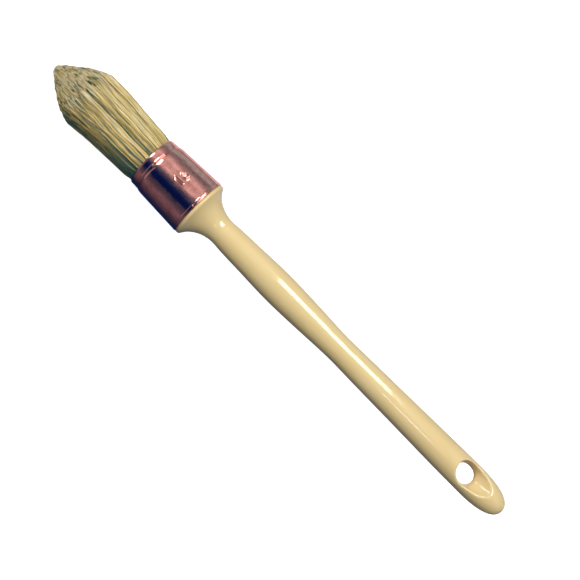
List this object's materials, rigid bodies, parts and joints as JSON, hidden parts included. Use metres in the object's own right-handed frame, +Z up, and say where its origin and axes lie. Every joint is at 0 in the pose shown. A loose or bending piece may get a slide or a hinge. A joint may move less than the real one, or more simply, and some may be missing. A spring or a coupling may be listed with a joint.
{
  "type": "round sash brush",
  "caption": "Round pointed natural-bristle brush with a stepped copper ferrule and a long glossy ivory handle with a hanging hole.",
  "frame": {"origin": "on the surface the brush lies on, under the middle of its length, with the brush's own axis level above it", "axes": "+X along the brush from the handle's end to the bristle tip, +Z up along the hanging hole, +Y across"},
  "size_m": [0.2362, 0.025, 0.0249],
  "materials": {
    "ivory_plastic": "high gloss moulded",
    "copper": "drawn copper, lightly tarnished",
    "resin": "cast amber resin",
    "beech": "plain turned wood",
    "bristle": "natural bristle"
  },
  "bodies": {
    "brush_body": {"handle": "ivory_plastic", "ferrule": "copper", "setting_resin": "resin", "core_plug": "beech", "bristle_roots": "bristle"},
    "bristle_tuft": {"bristle_bundle_core": "bristle", "bristle_bundle_inner_1": "bristle", "bristle_bundle_inner_2": "bristle", "bristle_bundle_inner_3": "bristle", "bristle_bundle_inner_4": "bristle", "bristle_bundle_inner_5": "bristle", "bristle_bundle_inner_6": "bristle", "bristle_bundle_outer_01": "bristle", "bristle_bundle_outer_02": "bristle", "bristle_bundle_outer_03": "bristle", "bristle_bundle_outer_04": "bristle", "bristle_bundle_outer_05": "bristle", "bristle_bundle_outer_06": "bristle", "bristle_bundle_outer_07": "bristle", "bristle_bundle_outer_08": "bristle", "bristle_bundle_outer_09": "bristle", "bristle_bundle_outer_10": "bristle", "bristle_bundle_outer_11": "bristle", "bristle_bundle_outer_12": "bristle"}
  },
  "joints": [
    {"name": "tuft_bend", "type": "hinge", "parent": "brush_body", "child": "bristle_tuft", "pos_m": [0.06765, 0, 0.01244], "axis": [0, 0, 1], "range_deg": [-25, 25], "stiffness_Nm_per_rad": 0.2}
  ]
}
